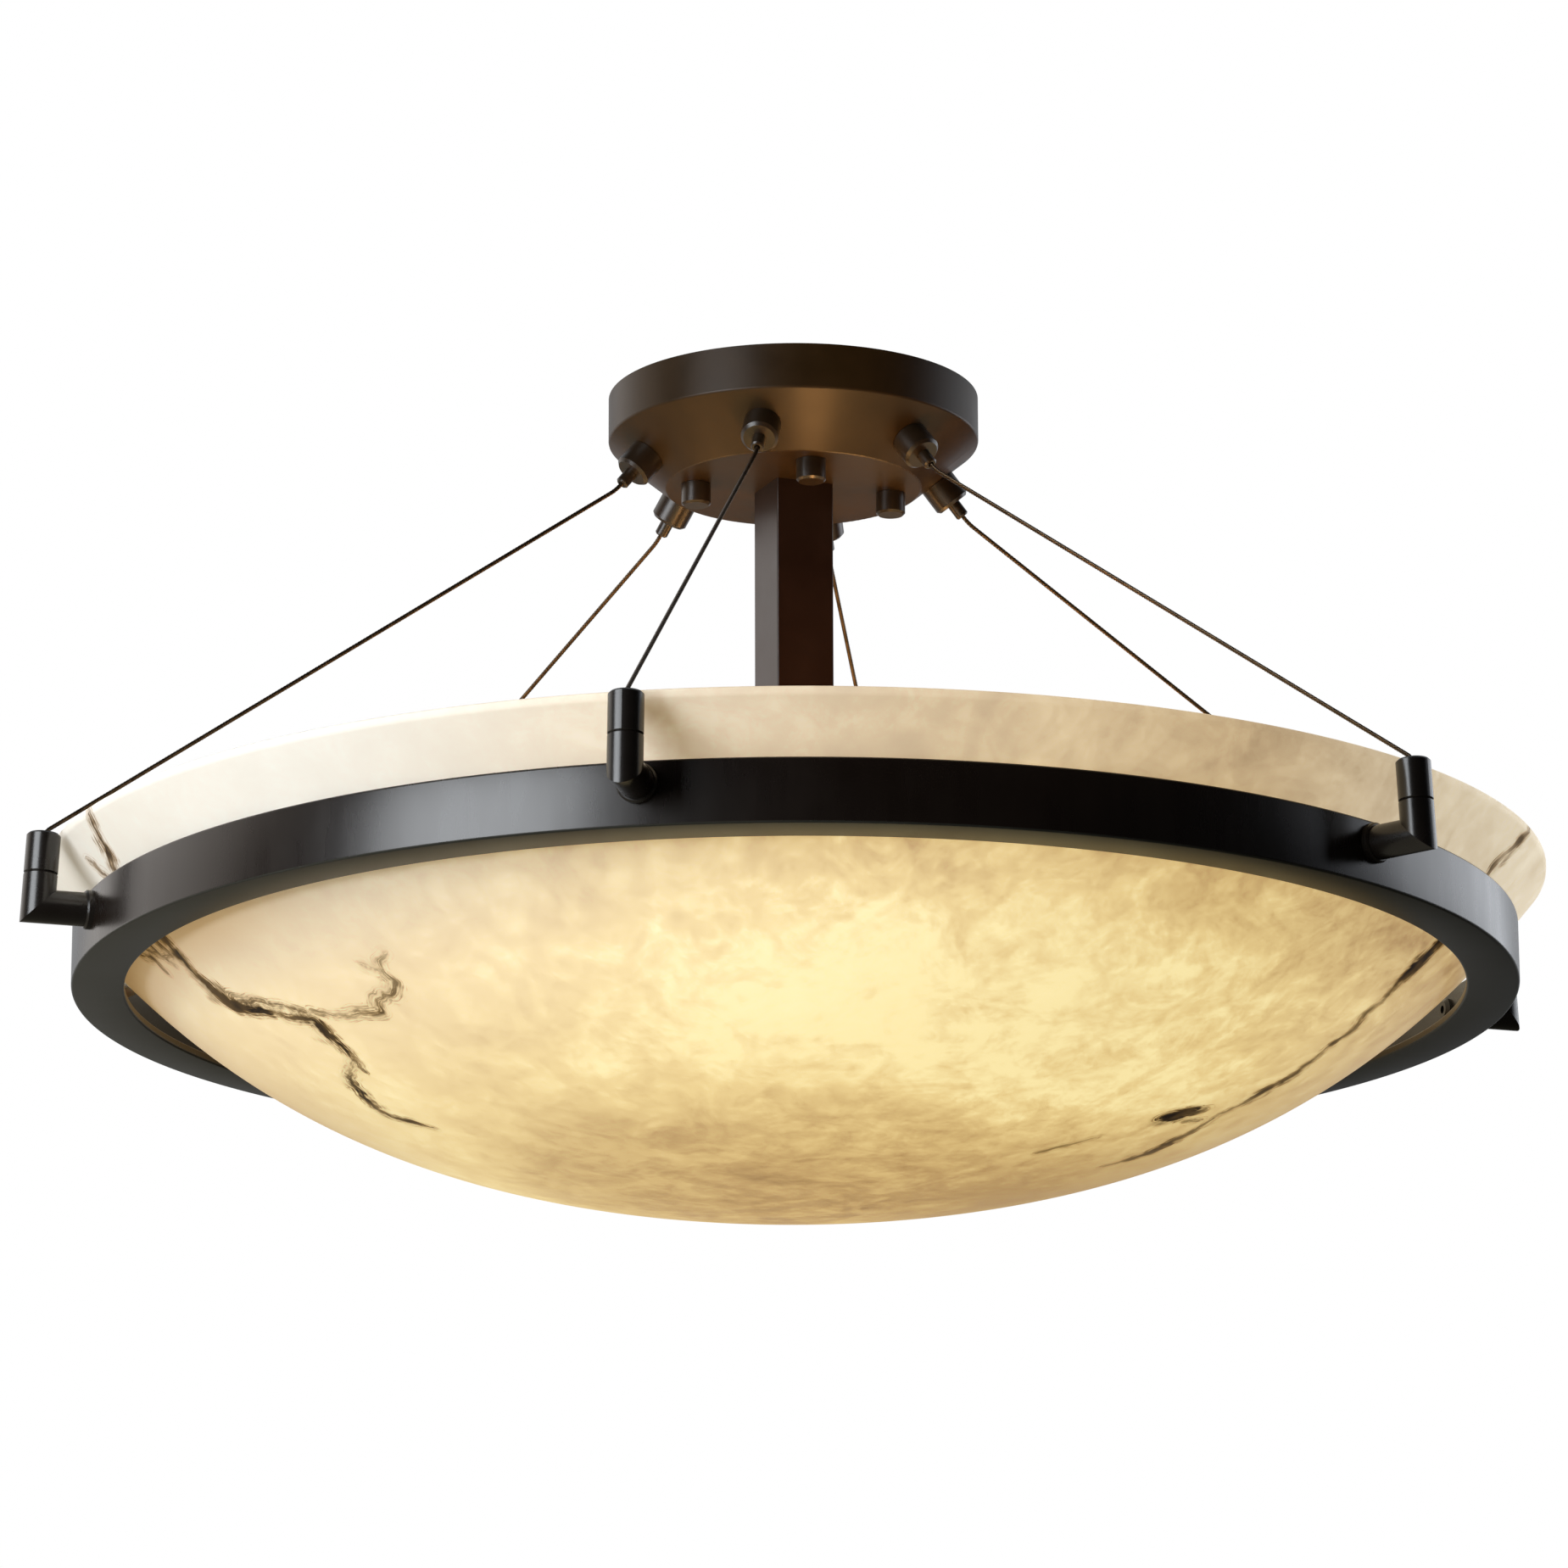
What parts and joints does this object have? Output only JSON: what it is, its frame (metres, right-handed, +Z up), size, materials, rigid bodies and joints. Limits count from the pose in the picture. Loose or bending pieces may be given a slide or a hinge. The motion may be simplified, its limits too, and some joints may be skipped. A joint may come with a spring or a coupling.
{
  "type": "semi flush ceiling light",
  "caption": "Semi flush ceiling light: a veined bowl shade in a flat metal ring, hung by wire cables from a stepped round canopy, with a square stem carrying the lamps.",
  "frame": {"origin": "centre of the two ceiling box screw holes, on the ceiling plane", "axes": "+Z points up into the ceiling; +X lies along the line of the two box screw holes; the light hangs towards -Z"},
  "size_m": [0.6056, 0.624, 0.3332],
  "materials": {
    "bronze": "dark bronze, satin with a mottled hand rubbed tone",
    "hardware": "dark bronze, semi gloss",
    "shade": "cast translucent faux alabaster with brown veins, satin",
    "cable": "blackened stranded steel",
    "steel": "plain",
    "zinc": "zinc plated",
    "brass": "bright",
    "silicone": "milky silicone",
    "holder": "moulded heat resistant plastic",
    "block": "moulded",
    "wire": "insulated conductor",
    "lamp_cap": "rolled thread",
    "lamp_glass": "frosted inside"
  },
  "bodies": {
    "fixture": {"bowl_pads": "silicone", "bracket_caps": "hardware", "bracket_collars": "hardware", "bracket_elbow_1": "hardware", "bracket_elbow_2": "hardware", "bracket_elbow_3": "hardware", "bracket_elbow_4": "hardware", "bracket_elbow_5": "hardware", "bracket_elbow_6": "hardware", "bracket_screws": "steel", "cable_1": "cable", "cable_2": "cable", "cable_3": "cable", "cable_4": "cable", "cable_5": "cable", "cable_6": "cable", "cable_ball_ends": "brass", "cable_grippers": "hardware", "canopy": "bronze", "cluster_body": "bronze", "cluster_cap": "bronze", "cluster_lock_nut": "zinc", "cluster_nipple": "zinc", "earth_screw": "brass", "gripper_lock_nuts": "steel", "lamp_arms": "zinc", "lamp_holders": "holder", "lamp_leads": "wire", "mounting_plate": "zinc", "mounting_studs": "steel", "ring": "bronze", "socket_contacts": "brass", "socket_shells": "brass", "splice_connector": "block", "stem": "bronze", "stem_lock_nut": "zinc", "stem_nipple": "zinc", "stem_plugs": "steel", "stem_washer": "zinc", "stem_wires": "wire", "terminal_block": "block"},
    "nut_1": {"canopy_nut_1": "hardware"},
    "nut_2": {"canopy_nut_2": "hardware"},
    "nut_3": {"canopy_nut_3": "hardware"},
    "nut_4": {"canopy_nut_4": "hardware"},
    "bulb_1": {"bulb_base_1": "lamp_cap", "bulb_glass_1": "lamp_glass"},
    "bulb_2": {"bulb_base_2": "lamp_cap", "bulb_glass_2": "lamp_glass"},
    "bulb_3": {"bulb_base_3": "lamp_cap", "bulb_glass_3": "lamp_glass"},
    "plunger_1": {"gripper_plunger_1": "hardware"},
    "plunger_2": {"gripper_plunger_2": "hardware"},
    "plunger_3": {"gripper_plunger_3": "hardware"},
    "plunger_4": {"gripper_plunger_4": "hardware"},
    "plunger_5": {"gripper_plunger_5": "hardware"},
    "plunger_6": {"gripper_plunger_6": "hardware"},
    "bowl": {"bowl": "shade"},
    "knob": {"cluster_knob": "hardware"}
  },
  "joints": [
    {"name": "nut_1_turn", "type": "hinge", "parent": "fixture", "child": "nut_1", "pos_m": [0.00703, -0.03988, -0.0424], "axis": [0, 0, 1], "continuous": true},
    {"name": "nut_2_turn", "type": "hinge", "parent": "fixture", "child": "nut_2", "pos_m": [0.03988, 0.00703, -0.0424], "axis": [0, 0, 1], "continuous": true},
    {"name": "nut_3_turn", "type": "hinge", "parent": "fixture", "child": "nut_3", "pos_m": [-0.00703, 0.03988, -0.0424], "axis": [0, 0, 1], "continuous": true},
    {"name": "nut_4_turn", "type": "hinge", "parent": "fixture", "child": "nut_4", "pos_m": [-0.03988, -0.00703, -0.0424], "axis": [0, 0, 1], "continuous": true},
    {"name": "bulb_1_turn", "type": "hinge", "parent": "fixture", "child": "bulb_1", "pos_m": [0.00637, -0.02085, -0.1843], "axis": [0.2747, -0.8986, -0.342], "continuous": true},
    {"name": "bulb_2_turn", "type": "hinge", "parent": "fixture", "child": "bulb_2", "pos_m": [0.01487, 0.01594, -0.1843], "axis": [0.6409, 0.6872, -0.342], "continuous": true},
    {"name": "bulb_3_turn", "type": "hinge", "parent": "fixture", "child": "bulb_3", "pos_m": [-0.02124, 0.0049, -0.1843], "axis": [-0.9156, 0.2114, -0.342], "continuous": true},
    {"name": "plunger_1_press", "type": "slide", "parent": "fixture", "child": "plunger_1", "axis": [0.1267, 0.6242, 0.7709], "range_m": [0, 0.002], "stiffness_N_per_m": 400, "springref_m": -0.002},
    {"name": "plunger_2_press", "type": "slide", "parent": "fixture", "child": "plunger_2", "axis": [-0.4773, 0.4218, 0.7709], "range_m": [0, 0.002], "stiffness_N_per_m": 400, "springref_m": -0.002},
    {"name": "plunger_3_press", "type": "slide", "parent": "fixture", "child": "plunger_3", "axis": [-0.6039, -0.2024, 0.7709], "range_m": [0, 0.002], "stiffness_N_per_m": 400, "springref_m": -0.002},
    {"name": "plunger_4_press", "type": "slide", "parent": "fixture", "child": "plunger_4", "axis": [-0.1267, -0.6242, 0.7709], "range_m": [0, 0.002], "stiffness_N_per_m": 400, "springref_m": -0.002},
    {"name": "plunger_5_press", "type": "slide", "parent": "fixture", "child": "plunger_5", "axis": [0.4773, -0.4218, 0.7709], "range_m": [0, 0.002], "stiffness_N_per_m": 400, "springref_m": -0.002},
    {"name": "plunger_6_press", "type": "slide", "parent": "fixture", "child": "plunger_6", "axis": [0.6039, 0.2024, 0.7709], "range_m": [0, 0.002], "stiffness_N_per_m": 400, "springref_m": -0.002},
    {"name": "bowl_turn", "type": "hinge", "parent": "fixture", "child": "bowl", "pos_m": [0, 0, -0.24], "axis": [0, 0, 1], "continuous": true},
    {"name": "knob_turn", "type": "hinge", "parent": "fixture", "child": "knob", "pos_m": [0, 0, -0.207], "axis": [0, 0, 1], "continuous": true}
  ]
}
